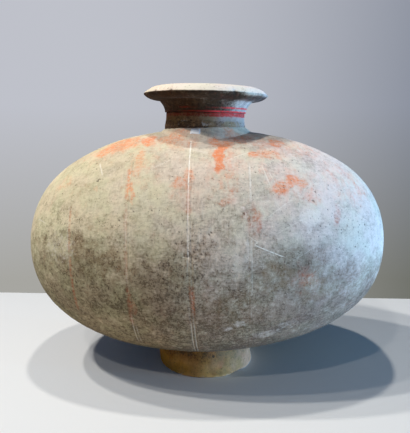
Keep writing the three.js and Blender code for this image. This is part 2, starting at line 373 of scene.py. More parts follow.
def holes_at(holes, place, turn, points):
    """Depth of the dark holes, from 0 outside to 1 in the middle, with ragged edges."""
    depth = np.zeros(len(place))
    ragged = 1 + 0.45 * lumps(points, 1.7, 75)
    for p, t, radius in holes:
        around = np.radians(turn - t) * cocoon_radius(p)
        near = np.abs(place - p) < 2 * radius
        away = np.hypot(place[near] - p, around[near]) / (radius * ragged[near])
        depth[near] = np.maximum(depth[near], fade(away, 0.2, 1))
    return depth


def scratches_at(place, turn):
    """The signed distance to the nearest scratch, and how strong that scratch is there."""
    nearest = np.full(len(place), 9.0)
    best = np.zeros(len(place))
    for p0, t0, p1, t1, half, strength in SCRATCHES:
        arc = math.radians(1) * cocoon_radius((p0 + p1) / 2)
        along = np.array([p1 - p0, (t1 - t0) * arc])
        length = np.hypot(*along)
        along /= length
        x, y = place - p0, (turn - t0) * arc
        run = x * along[0] + y * along[1]
        off = (x * along[1] - y * along[0]) / half
        ends = smooth(run, -1, 2) * fade(run, length - 2, length + 1)
        here = strength * ends * fade(np.abs(off), 4, 6)
        closer = here > best
        nearest = np.where(closer, off, nearest)
        best = np.where(closer, here, best)
    return nearest, best


def strewn(count, seed, *ranges):
    """Holes strewn over a stretch of the cocoon: ranges of place, turn and radius."""
    rng = np.random.default_rng(seed)
    return list(zip(*[rng.uniform(*span, count) for span in ranges]))


ALL_PITS = (
    [(place, turn, radius * 0.8) for place, turn, radius in PITS]
    + strewn(12, 9, (-14, 14), (77, 86), (1.3, 2.2))
    + strewn(30, 8, (-150, 165), (-175, -15), (1.2, 2))
)


def line_depth(place):
    """Depth of the pairs of turned lines."""
    depth = np.zeros(len(place))
    for middle, deep in TURNED_LINES:
        groove = fade(np.abs(place - middle), 0.1, 0.75)
        depth = np.maximum(depth, deep * groove)
    return depth


def stretches(lines, place, turn, width):
    """How strongly stretches of the turned lines show, on the front and the back alike."""
    cover = np.zeros(len(place))
    around = np.abs(turn)
    for middle, t0, t1, strength in lines:
        ends = smooth(around, t0, t0 + 5) * fade(around, t1 - 5, t1)
        across = fade(np.abs(place - middle), 0.2 * width, width)
        cover = np.maximum(cover, strength * ends * across)
    return cover


def skin_swell(place, turn, points):
    """Slow unevenness of the thrown and paddled body."""
    slow = uneven(points, 11, (75, 0.5), (30, 0.3))
    ripple = np.sin(place / 1.1 + 5 * lumps(points, 60, 13)) * lumps(points, 35, 14)
    return slow + 0.07 * ripple


def way_down(place, turn, points):
    """Degrees down from the top at which soil settles, wavering along the cocoon."""
    radius = cocoon_radius(place)
    level = radius * np.cos(np.radians(turn)) / np.maximum(radius, 90)
    down = np.degrees(np.arccos(np.clip(level, -1, 1)))
    down += uneven(points, 23, (45, 5), (15, 3))
    return down - 12 * smooth(place, 70, 130)


def body_marks(place, turn, points):
    """The painted marks of the cocoon's skin. The back is a guess from the front."""
    around = np.abs(turn)
    back = smooth(points[:, 1] + 5 * lumps(points, 25, 35), -8, 14)
    slow = cloud(points, 60, 21, 4)
    quick = cloud(points, 12, 22)
    down = way_down(place, turn, points)

    def blend(front, behind):
        return front * (1 - back) + behind * back

    def painted(marks, ragged):
        return marks_at(marks, place, turn, points, ragged)

    soil = 0.08 + 0.64 * smooth(down, 70, 92) + 0.25 * smooth(down, 92, 118)
    soil += 0.35 * smooth(down, 130, 152)
    soil += 0.13 * slow + 0.13 * quick + 0.12 * cloud(points, 26, 25)
    soil += painted(SOIL_MARKS, 1.6)
    soil -= painted(CLEAN_MARKS, 1.6)
    # Cooler towards the right end: partly the slip's own hue, partly painted cool light from the
    # right
    cool = smooth(place + 14 * slow, -130, 175)
    crust = smooth(down, 48, 74) * fade(place + 12 * slow, 30, 90)
    crust_behind = smooth(down, 48, 74) * smooth(cloud(points, 50, 36), -0.3, 0.5)
    high = fade(around, 34, 62)
    red_behind = smooth(cloud(points, 26, 31, 4), 0.18, 0.7) * (0.2 + 0.6 * high)
    chalk_behind = 0.5 * smooth(cloud(points, 20, 32, 4), 0.55, 0.9)
    ochre_behind = 0.6 * smooth(cloud(points, 50, 33), 0.1, 0.7)
    specks_behind = smooth(cloud(points, 45, 34), 0, 0.7)
    off, strength = scratches_at(place, turn)
    dull = 0.05 + 0.12 * smooth(place, 0, 90) + 0.5 * smooth(around, 50, 72)
    return {
        "soil": soil,
        "cool": blend(cool, 0.45 + 0.25 * slow) + 0.1 * quick,
        "red": blend(painted(RED_MARKS, 1.2), red_behind),
        "dull": dull + 0.2 * quick,
        "chalk": blend(painted(CHALK_MARKS, 0.8), chalk_behind),
        "ochre": blend(painted(OCHRE_MARKS, 2), ochre_behind),
        "pit": holes_at(ALL_PITS, place, turn, points),
        "line": stretches(PALE_LINES, place, turn, 0.8),
        "rust": stretches(RED_LINES, place, turn, 2),
        "speck": blend(painted(SPECK_MARKS, 2.2), specks_behind),
        "crust": blend(crust, crust_behind),
        "scratch": strength,
        "scratch_off": off,
    }


def body_relief(place, turn, points, marks):
    """How far the cocoon's skin stands out from the CAD's plain form."""
    fine = uneven(points, 15, (7, 0.1), (3.6, 0.1))
    relief = skin_swell(place, turn, points) + fine
    relief -= line_depth(place)
    relief -= 0.8 * marks["pit"]
    relief += 0.12 * smooth(marks["chalk"], 0.3, 0.6)
    relief += 0.06 * smooth(marks["red"], 0.3, 0.6)
    return relief


def new_object(name, data):
    obj = bpy.data.objects.new(name, data)
    bpy.context.scene.collection.objects.link(obj)
    return obj


def set_marks(mesh, marks):
    """Stores painted marks as the mesh's named attributes."""
    for mark, values in marks.items():
        layer = mesh.attributes.new(mark, "FLOAT", "POINT")
        layer.data.foreach_set("value", np.asarray(values, np.float32))


def make_mesh(name, points, faces, marks=None):
    """An object from points in millimetres, with its painted marks."""
    mesh = bpy.data.meshes.new(name)
    mesh.from_pydata((points * MM).tolist(), [], faces)
    mesh.update()
    set_marks(mesh, marks or {})
    mesh.polygons.foreach_set("use_smooth", [True] * len(mesh.polygons))
    return new_object(name, mesh)


def ring_faces(rows, turns, closed=True, first=0):
    """Quads of a grid of rows of points that each go once round, as one closed surface."""
    here = first + np.arange(rows * turns).reshape(rows, turns)
    above = np.roll(here, -1, axis=0)
    corners = [here, np.roll(here, -1, axis=1), np.roll(above, -1, axis=1), above]
    quads = np.stack(corners, axis=-1)[: rows if closed else rows - 1]
    return quads.reshape(-1, 4).tolist()


def run_along(x, y):
    """The length of a curve up to each of its points."""
    return np.concatenate([[0], np.cumsum(np.hypot(np.diff(x), np.diff(y)))])


def meridian(side, grown, step):
    """Places from the seam to one end of the cocoon, about one step apart along it."""
    length = (LEFT_LENGTH if side < 0 else RIGHT_LENGTH) + grown
    samples = 4000
    share = np.linspace(0, math.pi / 2, samples)
    start = math.asin(max(0, side * SEAM_PLACE / length))
    share = start + share * (1 - start / (math.pi / 2))
    place = side * length * np.sin(share)
    if side > 0:
        place = np.concatenate([np.linspace(SEAM_PLACE + 0.1, 0, 4)[:-1], place])
    run = run_along(place, cocoon_radius(place, grown))
    count = int(run[-1] / step)
    return np.interp(np.linspace(0, run[-1], count + 1), run, place)


def with_lines(places, side):
    """Adds rows of points across each turned line."""
    extra = [middle + step for middle, _ in TURNED_LINES for step in LINE_ROWS]
    extra = np.array([p for p in extra if side * (p - SEAM_PLACE) > 0.2])
    kept = [p for p in places if np.abs(extra - p).min() > 0.6]
    return np.array(sorted([*kept, *extra], key=lambda p: side * p))


def bowl_shell(side):
    """Points and faces of one bowl: outer skin, rim at the seam and inner skin."""
    outer = with_lines(meridian(side, 0, SKIN_STEP), side)
    outer = outer[side * (outer - SEAM_PLACE) > SLIP_GAP / 2]
    inner = meridian(side, -BODY_WALL, SKIN_STEP * 2)
    inner = inner[side * (inner - SEAM_PLACE) > 1]
    mouth = SEAM_PLACE + side * 0.01
    rows = [(mouth, 0), (mouth + side * 0.04, 0)] + [(p, 0) for p in outer[:-1]]
    back = [(p, -BODY_WALL) for p in inner[-2::-1]] + [(mouth, -BODY_WALL)]
    angle = once_round(SKIN_TURNS)
    hoops = [hoop(p, cocoon_radius(p, grown), angle) for p, grown in rows + back]
    ends = from_cocoon(np.array([outer[-1], inner[-1]]), np.zeros(2), np.zeros(2))
    points = np.concatenate([*hoops, ends])
    shift = len(rows) * SKIN_TURNS
    faces = ring_faces(len(rows), SKIN_TURNS, closed=False)
    faces += ring_faces(len(back), SKIN_TURNS, closed=False, first=shift)
    last_out = shift - SKIN_TURNS
    last_in = len(points) - 2 - SKIN_TURNS
    for i in range(SKIN_TURNS):
        j = (i + 1) % SKIN_TURNS
        faces.append([last_out + i, last_out + j, len(points) - 2])
        faces.append([len(points) - 1, shift + j, shift + i])
        faces.append([last_in + i, last_in + j, j, i])
    if side < 0:
        faces = [f[::-1] for f in faces]
    return points, faces


def cut_throat(obj):
    """Cuts the hole under the neck through a bowl or the band."""
    angle = once_round(THROAT_TURNS)
    heights = [np.full(THROAT_TURNS, height) for height in THROAT_CUT]
    rows = [upright_on_neck(THROAT_RADIUS, height, angle) for height in heights]
    bottom, top = np.arange(2 * THROAT_TURNS).reshape(2, -1).tolist()
    faces = ring_faces(2, THROAT_TURNS, closed=False) + [bottom[::-1], top]
    cutter = make_mesh("cutter", np.concatenate(rows), faces)
    cut = obj.modifiers.new("throat", "BOOLEAN")
    cut.object = cutter
    cut.operation = "DIFFERENCE"
    cut.solver = "MANIFOLD"
    graph = bpy.context.evaluated_depsgraph_get()
    obj.data = bpy.data.meshes.new_from_object(obj.evaluated_get(graph))
    # The cut leaves an empty place for a material
    obj.data.materials.clear()
    obj.modifiers.clear()
    bpy.data.objects.remove(cutter)


def mesh_points(obj):
    """An object's points in millimetres."""
    flat = np.zeros(len(obj.data.vertices) * 3, np.float32)
    obj.data.vertices.foreach_get("co", flat)
    return flat.reshape(-1, 3).astype(float) / MM


def bowl_skin(name, side):
    """One thrown bowl of the cocoon, worn and painted."""
    obj = make_mesh(name, *bowl_shell(side))
    cut_throat(obj)
    points = mesh_points(obj)
    place, turn, radius = to_cocoon(points)
    marks = body_marks(place, turn, points)
    inside = smooth(cocoon_radius(place) - radius, 0.5, 4)
    for key in ("red", "chalk", "line", "pit", "ochre", "rust", "speck", "crust", "scratch"):
        marks[key] = marks[key] * (1 - inside)
    marks["soil"] = marks["soil"] * (1 - inside) + 0.9 * inside
    relief = body_relief(place, turn, points, marks) * (1 - inside)
    relief += inside * (0.5 * np.sin(place / 2.1) + 0.6 * lumps(points, 18, 17))
    zeros = np.zeros(len(place))
    outward = points - from_cocoon(place, zeros, zeros)
    outward /= np.maximum(np.linalg.norm(outward, axis=1), 1e-6)[:, None]
    points += outward * relief[:, None]
    obj.data.vertices.foreach_set("co", (points * MM).astype(np.float32).ravel())
    set_marks(obj.data, marks)
    obj.data.update()
    return obj


def spread(points, step):
    """A closed profile with points about one step apart."""
    loop = np.array([*points, points[0]])
    run = run_along(*loop.T)
    count = max(8, int(run[-1] / step))
    at = np.linspace(0, run[-1], count, endpoint=False)
    return np.stack([np.interp(at, run, loop[:, 0]), np.interp(at, run, loop[:, 1])], axis=-1)


def thrown_ring(name, profile, carry, finish):
    """A thrown ring: finish wears and paints its points, and carry puts them in place."""
    radius = np.repeat(profile[:, 0], RING_TURNS)
    height = np.repeat(profile[:, 1], RING_TURNS)
    around = np.tile(once_round(RING_TURNS), len(profile))
    radius, height, marks = finish(radius, height, around)
    points = carry(radius, height, around)
    return make_mesh(name, points, ring_faces(len(profile), RING_TURNS), marks)


def round_spots(radius, height, around):
    """Points in a ring's own frame."""
    return np.stack([radius * np.cos(around), radius * np.sin(around), height], axis=-1)


def surface_height(middle, radius, around, side):
    """Height of the cocoon's surface at a radius round an upright axis."""
    x = middle + radius * np.cos(around)
    y = radius * np.sin(around)
    return on_cocoon(x - WIDEST_PLACE, y, side)[:, 2]


def neck_profile():
    """Closed outline of the neck, which goes down into the cocoon."""
    flared = NECK_RADIUS + NECK_FLARE
    outer = [
        (flared, NECK_FOOT),
        (flared, 0),
        (NECK_RADIUS + NECK_FLARE / 2, NECK_HEIGHT / 4),
        (NECK_RADIUS, NECK_HEIGHT / 2),
        (NECK_RADIUS, NECK_HEIGHT - 0.5),
        (NECK_RADIUS - 0.5, NECK_HEIGHT),
    ]
    bore = [(THROAT_RADIUS, NECK_HEIGHT), (THROAT_RADIUS, NECK_FOOT)]
    return spread(outer + bore, NECK_STEP)


def worn_neck(radius, height, around):
    """The neck's uneven skin, its red band and the crust at its foot, with painted shade on its
    left side and painted light on its right.
    """
    floor = surface_height(NECK_PLACE, radius, around, 1) - TOP_HEIGHT - NECK_SINK
    height = np.maximum(height, floor)
    spots = round_spots(radius, height, around)
    outside = smooth(radius, NECK_RADIUS - 3, NECK_RADIUS - 1)
    ragged = 0.9 * cloud(spots, 9, 41)
    right = 0.5 + 0.5 * np.cos(around)
    band = smooth(height + 0.4 * ragged, 10.2, 12.4) * fade(height, 14.8, 15.2)
    crust = smooth(height + 0.6 * ragged, 0.4, 1.6) * fade(height + ragged, 6, 8.4)
    edge = fade(height + 0.3 * ragged, 0.9, 2.2)
    radius = radius + outside * (
        0.35 * lumps(spots, 22, 42)
        + 0.3 * crust * (0.6 + lumps(spots, 2.6, 43))
        + 0.12 * lumps(spots, 4, 44)
    )
    # Darker on the left and paler on the right: painted shade and painted light on the two sides
    soil = 0.72 - 0.45 * smooth(right, 0.55, 1) + 0.3 * cloud(spots, 16, 45)
    return radius, height, {
        "soil": soil + 0.3 * crust + 0.7 * edge,
        "red": outside * band * (1.1 + 0.4 * smooth(right, 0.3, 0.8)),
        # The red band dulls and darkens on the left: painted shade
        "dull": 0.95 - 0.5 * smooth(right, 0.4, 0.8),
        "chalk": outside * 0.4 * crust * smooth(cloud(spots, 4, 47), 0, 0.8),
        "ochre": crust * smooth(right, 0.4, 0.8) * (0.5 + cloud(spots, 6, 48, 2)),
        "speck": outside * crust,
        # Painted cool light on the right side
        "cool": right + 0.12 * cloud(spots, 9, 40, 2),
    }


def mouth_profile():
    """Closed outline of the mouth: funnel, underside, edge, slope, lip and bore."""
    funnel_radius = NECK_RADIUS + FUNNEL_FLARE
    flare = FUNNEL_FLARE - JOINT_STEP
    drop = FLANGE_THICKNESS - FLANGE_EDGE
    lip_radius = THROAT_RADIUS + MOUTH_OPENING + LIP_WIDTH
    lip_height = EDGE_HEIGHT + LIP_RISE
    s = np.linspace(0, 1, 24)
    funnel = [NECK_RADIUS + JOINT_STEP + flare * s**2, MOUTH_FOOT + (FUNNEL_TOP - MOUTH_FOOT) * s]
    under = np.array([funnel_radius + FLANGE_REACH * s, FUNNEL_TOP + drop * s**3])[:, 1:]
    slope = [
        EDGE_RADIUS + (lip_radius - EDGE_RADIUS) * s,
        EDGE_HEIGHT + LIP_RISE * (1 - (1 - s) ** FLANGE_SWELL),
    ]
    bore = [
        THROAT_RADIUS + MOUTH_OPENING * (1 - s) ** 1.5,
        lip_height + (MOUTH_FOOT - lip_height) * s,
    ]
    return spread(np.concatenate([funnel, under, slope, bore], axis=1).T, MOUTH_STEP)


def chip_depth(degrees):
    """Depth of the chips along the flange's edge."""
    bite = np.zeros(len(degrees))
    for middle, half, depth in CHIPS:
        away = np.abs((degrees - middle + 180) % 360 - 180)
        bite = np.maximum(bite, depth * fade(away, 0.2 * half, half))
    return bite


def worn_mouth(radius, height, around):
    """The flared mouth's uneven skin, with chips along the flange's edge, painted shade under the
    flange and on the left, a painted highlight along the edge and painted light on the right.
    """
    low = MOUTH_FOOT
    spots = round_spots(radius, height, around)
    near_edge = fade(np.hypot(radius - EDGE_RADIUS, height - EDGE_HEIGHT), 0.5, 4.5)
    upper = smooth(height - EDGE_HEIGHT, -0.3, 0.8) * smooth(radius, 33, 42)
    bite = chip_depth(np.degrees(around)) * near_edge
    outside = smooth(radius, 36, 39)
    radius = radius + outside * (uneven(spots, 51, (26, 0.4), (5, 0.16)) - bite)
    radius += 0.25 * near_edge * lumps(spots, 8, 53)
    height = height + 0.25 * outside * lumps(spots, 30, 54)
    right = 0.5 + 0.5 * np.cos(around)
    thin = smooth(height, low + 3, low + 3.8) * fade(height, low + 4.2, low + 5.4)
    foot = fade(height, low + 0.8, low + 1.7)
    worn = smooth(lumps(spots, 20, 55) + 2.4 * right, 0.6, 1.6)
    red = np.maximum(1.3 * thin * worn, foot * (0.5 + smooth(right, 0.15, 0.45)))
    # A painted highlight along the flange's edge, below its top, on the right side
    lit = near_edge * (1 - upper) * smooth(right, 0.5, 1)
    inner = fade(radius, 35, 41)
    # Painted light on the right side of the funnel
    side = smooth(right, 0.62, 0.95) * fade(height - low, 9, 14)
    # Below the flange's top the mouth is dark: partly unslipped clay, partly painted shade under
    # the flange
    soil = 1.25 - 0.8 * side + 0.25 * cloud(spots, 15, 56)
    soil = soil * (1 - upper) + upper * (-0.3 + 0.2 * cloud(spots, 12, 57))
    soil = soil + 0.5 * bite + 0.4 * inner * (1 - upper) - lit
    return radius, height, {
        "soil": soil,
        "red": outside * (1 - upper) * red,
        # The red dulls and darkens on the left: painted shade
        "dull": 0.95 - 0.75 * smooth(right, 0.35, 0.75),
        "chalk": 0.3 * upper * smooth(cloud(spots, 10, 58), 0.1, 0.6),
        "ochre": 0.2 * smooth(cloud(spots, 18, 59, 2), 0.1, 0.7),
        "pit": upper * smooth(cloud(spots, 3.2, 60, 2), 0.85, 1),
        # Painted cool light on the right side
        "cool": right - 0.2 * (1 - upper) * (1 - side) + 0.1 * cloud(spots, 9, 50, 2),
    }


def foot_outside(height):
    """The foot's outer radius at a height."""
    return FOOT_RADIUS - FOOT_TAPER * height


def foot_profile():
    """Closed outline of the foot, with a thick rounded resting edge."""
    arc = np.linspace(0, math.pi / 2, 10)

    def rounded(radius, inwards, angles):
        reach = inwards * FOOT_EDGE
        return [
            (radius - reach * (1 - math.sin(a)), FOOT_EDGE * (1 - math.cos(a))) for a in angles
        ]

    outer_edge = rounded(foot_outside(FOOT_EDGE), 1, arc)
    inner_edge = rounded(foot_outside(0) - FOOT_WALL, -1, arc[::-1])
    top = foot_outside(FOOT_TOP)
    sides = [(top, FOOT_TOP), (top - FOOT_WALL, FOOT_TOP)]
    return spread(outer_edge + sides + inner_edge, FOOT_STEP)


def worn_foot(radius, height, around):
    """The foot's skin, out of round, with a wave in its resting edge, painted shade under the
    body, a painted highlight along its resting edge and painted cool light on its right.
    """
    ceiling = surface_height(0, radius, around, -1) + FOOT_SINK
    height = np.minimum(height, ceiling)
    spots = round_spots(radius, height, around)
    outside = smooth(radius, 43, 45)
    low = fade(height, 0.5, 7)
    radius = radius + outside * uneven(spots, 61, (28, 0.5), (9, 0.25), (4, 0.12))
    degrees = (np.degrees(around) + 180) % 360 - 180
    wave = fade(np.abs(degrees + 47), 4, 18)
    radius -= 0.9 * outside * low * wave
    height += 0.9 * wave * low * outside
    leaning = smooth(height, 0, 14) * np.cos(around)
    radius -= 1.6 * outside * leaning
    # A painted highlight along the resting edge, which makes the edge paler, most on the right
    rim = fade(height, 1.2, 3.6)
    soil = 0.35 + 0.3 * cloud(spots, 14, 64) - 0.75 * rim
    return radius, height, {
        # Darker towards the top, under the body: painted shade
        "soil": soil + 0.95 * smooth(height, 12, 25),
        "red": 0.35 * smooth(cloud(spots, 8, 65), 0.45, 0.8),
        "dull": np.full(len(radius), 0.5),
        # The pale mark along the resting edge is the painted highlight
        "chalk": outside * (0.45 + 0.15 * np.cos(around)) * rim,
        "ochre": 0.25 + 0.4 * cloud(spots, 22, 66),
        "pit": holes_on_foot(spots, degrees),
        # Painted cool light on the right side
        "cool": 0.5 + 0.5 * np.cos(around) + 0.15 * cloud(spots, 9, 60, 2),
    }


def holes_on_foot(spots, degrees):
    """A dark hole near the top of the foot's front, and a few small ones."""
    angle, height = FOOT_HOLE
    hole = np.hypot((degrees - angle) * FOOT_RADIUS * math.pi / 180, spots[:, 2] - height)
    small = smooth(cloud(spots, 4.5, 67, 2), 0.95, 1.05)
    return np.maximum(fade(hole, 0.8, 2.7), 0.6 * small)


class Coil:
    """A coil smeared on the cocoon, round the neck (side 1) or inside the foot (side -1)."""

    def __init__(self, side, ring_place, wall_radius, height_at, spread_out):
        self.side = side
        self.middle = ring_place - WIDEST_PLACE
        self.middle += side * BODY_RADIUS * math.sin(math.radians(BODY_LEAN))
        self.wall_radius = wall_radius
        self.reach = side * spread_out
        self.height_at = height_at

    def point(self, angle, away, rise, grown):
        """Points at a share of the way out, at a share of the coil's height."""
        wall_x = self.middle + self.wall_radius * np.cos(angle)
        wall_y = self.wall_radius * np.sin(angle)
        height = self.height_at(np.sqrt(cocoon_radius(wall_x) ** 2 - wall_y**2))
        radius = self.wall_radius + self.reach * away * height
        place = self.middle + radius * np.cos(angle)
        y = radius * np.sin(angle)
        flat = on_cocoon(place, y, self.side)
        p, t, _ = to_cocoon(flat)
        swell = skin_swell(p, t, flat) + 0.35 * lumps(flat, 9, 81) * min(1, 3 * rise)
        grown = grown + 0.15 + swell + rise * (height - COIL_EDGE)
        up = np.sqrt(cocoon_radius(place) ** 2 - y**2) + grown
        return from_cocoon(place, y, self.side * up)


def hollow(away):
    """Height of a coil's hollow slope at a share of the way out."""
    return 1 - away**0.8


def coil_skin(name, coil):
    """A smeared coil, painted like the cocoon round it."""
    angle = once_round(RING_TURNS)
    section = [(-0.08, 0, -0.9), (-0.08, 1, 0)]
    section += [(math.sin(a), hollow(math.sin(a)), 0) for a in np.linspace(0, math.pi / 2, 16)]
    section += [(1.05, 0, -0.8)]
    points = np.concatenate([coil.point(angle, *row) for row in section])
    place, turn, _ = to_cocoon(points)
    marks = body_marks(place, turn, points)
    for key in ("pit", "line", "rust", "scratch"):
        marks[key] = marks[key] * 0
    faces = [f[::-1] for f in ring_faces(len(section), RING_TURNS)]
    return make_mesh(name, points, faces, marks)


def collar_coil():
    """The coil round the neck, level along its top."""
    top = BODY_RADIUS + COLLAR_TOP
    return Coil(1, NECK_PLACE, NECK_RADIUS + NECK_FLARE, lambda low: top - low, COLLAR_SPREAD)


def root_coil():
    """The coil inside the foot, of the same height all round."""
    wall = foot_outside(FOOT_CLEARANCE) - FOOT_WALL
    return Coil(-1, 0, wall, lambda low: np.full_like(low, ROOT_HEIGHT), ROOT_SPREAD)


def blank_tag():
    """A small plain paper tag stuck on the front of the collar."""
    angle = np.radians(np.linspace(*TAG_ANGLES, 9))
    coil = collar_coil()
    layers = []
    for lift in (0, TAG_THICKNESS):
        layers += [coil.point(angle, away, hollow(away), lift) for away in TAG_ROWS]
    count = len(angle)
    grid = np.arange(8 * count).reshape(8, count)
    faces = []
    for layer, order in ((grid[:4], 1), (grid[4:], -1)):
        quads = [layer[:-1, :-1], layer[:-1, 1:], layer[1:, 1:], layer[1:, :-1]][::order]
        faces += np.stack(quads, axis=-1).reshape(-1, 4).tolist()
    edge = np.array([*grid[0], *grid[1:4, -1], *grid[3, -2::-1], *grid[2:0:-1, 0]])
    over = edge + 4 * count
    sides = [np.roll(edge, -1), edge, over, np.roll(over, -1)]
    faces += np.stack(sides, axis=-1).tolist()
    return make_mesh("blank_tag", np.concatenate(layers), faces)


def band_skin():
    """The band of clay pressed over the seam inside, with the marks of the thumb."""
    half = BAND_WIDTH / 2
    outside = -BODY_WALL - SLIP_GAP
    s = np.linspace(-1, 1, 22)
    top = [(SEAM_PLACE + half * a, outside) for a in s]
    under = [
        (SEAM_PLACE + half * a, outside - BAND_THICKNESS * (1 - abs(a) ** 5) ** 0.6 - 0.2)
        for a in s[::-1]
    ]
    angle = once_round(RING_TURNS)
    thumb = THUMB_DEPTH * np.sin(angle * THUMB_MARKS)
    rows = []
    for place, grown in top + under:
        inner = grown < outside - 0.1
        press = thumb * math.cos((place - SEAM_PLACE) / half * 1.4) * inner
        rows.append(hoop(place, cocoon_radius(place) + grown - press, angle))
    faces = ring_faces(len(rows), RING_TURNS)
    obj = make_mesh("seam_band_skin", np.concatenate(rows), faces)
    cut_throat(obj)
    points = mesh_points(obj)
    soil = 0.8 + 0.3 * cloud(points, 20, 91)
    cool = np.full(len(points), 0.4)
    ochre = np.full(len(points), 0.2)
    set_marks(obj.data, {"soil": soil, "cool": cool, "ochre": ochre})
    return obj


class Nodes:
    """Builds a node tree. Most helpers return the socket that their nodes end in."""

    def __init__(self, tree):
        self.tree = tree

    def node(self, kind, inputs=None, **settings):
        node = self.tree.nodes.new("ShaderNode" + kind)
        for key, value in settings.items():
            setattr(node, key, value)
        for key, value in (inputs or {}).items():
            self.feed(node.inputs[key], value)
        return node

    def feed(self, socket, value):
        """Gives a socket another socket's value, a colour, a vector or a number."""
        if isinstance(value, bpy.types.NodeSocket):
            self.tree.links.new(value, socket)
        elif socket.type == "RGBA":
            socket.default_value = (*value, 1)
        else:
            socket.default_value = value

    def math(self, operation, *values):
        return self.node("Math", dict(enumerate(values)), operation=operation).outputs[0]

    def plus(self, a, b):
        return self.math("ADD", a, b)

    def times(self, a, b):
        return self.math("MULTIPLY", a, b)

    def ramp(self, value, low, high, bottom=0, top=1, kind="SMOOTHSTEP"):
        inputs = dict(enumerate((value, low, high, bottom, top)))
        return self.node("MapRange", inputs, interpolation_type=kind).outputs[0]

    def mix(self, share, under, over, blend="MIX"):
        inputs = {"Factor": share, "A": under, "B": over}
        node = self.node("Mix", inputs, data_type="RGBA", blend_type=blend)
        return node.outputs["Result"]

    def seen(self):
        """1 for what the camera sees, also in gloss or through glass, and 0 for other light."""
        path = self.node("LightPath")
        total = path.outputs["Is Camera Ray"]
        for kind in ("Is Glossy Ray", "Is Transmission Ray"):
            total = self.math("MAXIMUM", total, path.outputs[kind])
        return total


class Paint(Nodes):
    """The nodes of one material."""

    def __init__(self, name):
        self.material = bpy.data.materials.new(name)
        self.material.use_nodes = True
        super().__init__(self.material.node_tree)
        self.shader = self.tree.nodes["Principled BSDF"]
        self.spots = self.node("TexCoord").outputs["Object"]

    def give(self, name, value):
        """Sets one of the shader's sockets."""
        self.feed(self.shader.inputs[name], value)

    def mark(self, name):
        return self.node("Attribute", attribute_name=name).outputs["Fac"]

    def noise(self, size, seed, detail=3, roughness=0.6, stretch=(1, 1, 1)):
        """Noise with features of about this many millimetres, centred on 0.5."""
        shift = (seed * 1.7, seed * 0.9, seed * 2.3)
        inputs = {"Vector": self.spots, "Location": shift, "Scale": stretch}
        inputs = {"Vector": self.node("Mapping", inputs).outputs["Vector"]}
        inputs |= {"Scale": 1 / (size * MM), "Detail": detail, "Roughness": roughness}
        return self.node("TexNoise", inputs).outputs["Fac"]

    def sum(self, *parts):
        """The sum of several noises, each with its own strength, centred on 0."""
        total = 0
        for noise, amount in parts:
            total = self.plus(self.math("MULTIPLY_ADD", noise, amount, -amount / 2), total)
        return total

    def worn(self, mark, noise, amount, low, high):
        """A mark that noise has broken up."""
        return self.ramp(self.plus(self.mark(mark), self.sum((noise, amount))), low, high)

    def bump(self, height, depth):
        node = self.node("Bump", {"Distance": depth * MM, "Height": height})
        self.give("Normal", node.outputs["Normal"])


class ClayPaint(Paint):
    """The nodes of a clay material, with the noises that all its layers share."""

    def __init__(self, name):
        super().__init__(name)
        self.grain = self.noise(1.1, 1)
        self.fine = self.noise(2.6, 2, 4, 0.68)
        self.mottle = self.noise(9, 3, 5, 0.66)
        self.wipe = self.noise(1.6, 4, 4, stretch=(1, 0.16, 0.16))
        self.rub = self.noise(1.8, 9, stretch=(0.22, 0.8, 1))


# Clean slip, soiled slip and deep soil, each from its warm to its cool side. The cool mark
# picks the side. On the body the cool side is partly the slip's own hue and partly painted
# cool light from the right.
SLIP = ((0.7, 0.62, 0.42), (0.78, 0.69, 0.57), (0.79, 0.72, 0.68))
SOILED = ((0.33, 0.275, 0.165), (0.32, 0.26, 0.195), (0.27, 0.215, 0.18))
DEEP = ((0.15, 0.116, 0.07), (0.15, 0.115, 0.082), (0.14, 0.11, 0.09))
PALE = (0.95, 0.9, 0.8)
OCHRE = (0.3, 0.19, 0.085)
ORANGE = (0.84, 0.27, 0.11)
DULL_RED = (0.44, 0.13, 0.09)
REDS = (ORANGE, DULL_RED)
# Bright red, and a dark copy of it for the painted shade on the neck's and mouth's left sides
NECK_REDS_LIT_AND_SHADED = ((0.85, 0.055, 0.065), (0.16, 0.018, 0.005))
RUST = (0.34, 0.12, 0.08)
CHALK = (0.88, 0.8, 0.74)
PIT = (0.07, 0.047, 0.033)
# Neck, mouth and foot: each cool side is painted cool light on the right side, and the neck's and
# mouth's dark warm sides are painted shade on the left. The mouth's dark colours, used below the
# flange's top, are partly unslipped clay and partly painted shade under the flange. The foot's
# soiled and deep colours also give painted shade under the body.
NECK_SLIP = ((0.25, 0.14, 0.05), (0.33, 0.23, 0.14), (0.5, 0.44, 0.44))
NECK_SOIL_AND_SHADE = ((0.17, 0.085, 0.025), (0.19, 0.12, 0.06), (0.37, 0.31, 0.31))
NECK_DEEP_SOIL_AND_SHADE = ((0.045, 0.02, 0.007), (0.055, 0.033, 0.017), (0.12, 0.1, 0.095))
MOUTH_SLIP = ((0.76, 0.65, 0.5), (0.78, 0.71, 0.62), (0.75, 0.71, 0.7))
MOUTH_SOIL_AND_SHADE = ((0.055, 0.024, 0.006), (0.055, 0.031, 0.016), (0.21, 0.19, 0.19))
MOUTH_DEEP_SOIL_AND_SHADE = ((0.024, 0.011, 0.004), (0.027, 0.017, 0.01), (0.06, 0.052, 0.052))
FOOT_SLIP = ((0.7, 0.32, 0.03), (0.74, 0.395, 0.12), (0.55, 0.3, 0.2))
FOOT_SOIL_AND_SHADE = ((0.36, 0.14, 0.01), (0.37, 0.185, 0.05), (0.31, 0.18, 0.11))
FOOT_DEEP_SOIL_AND_SHADE = ((0.09, 0.045, 0.014), (0.11, 0.065, 0.03), (0.13, 0.1, 0.08))
BARE_CLAY = ((0.32, 0.28, 0.22), (0.33, 0.29, 0.25), (0.33, 0.31, 0.29))


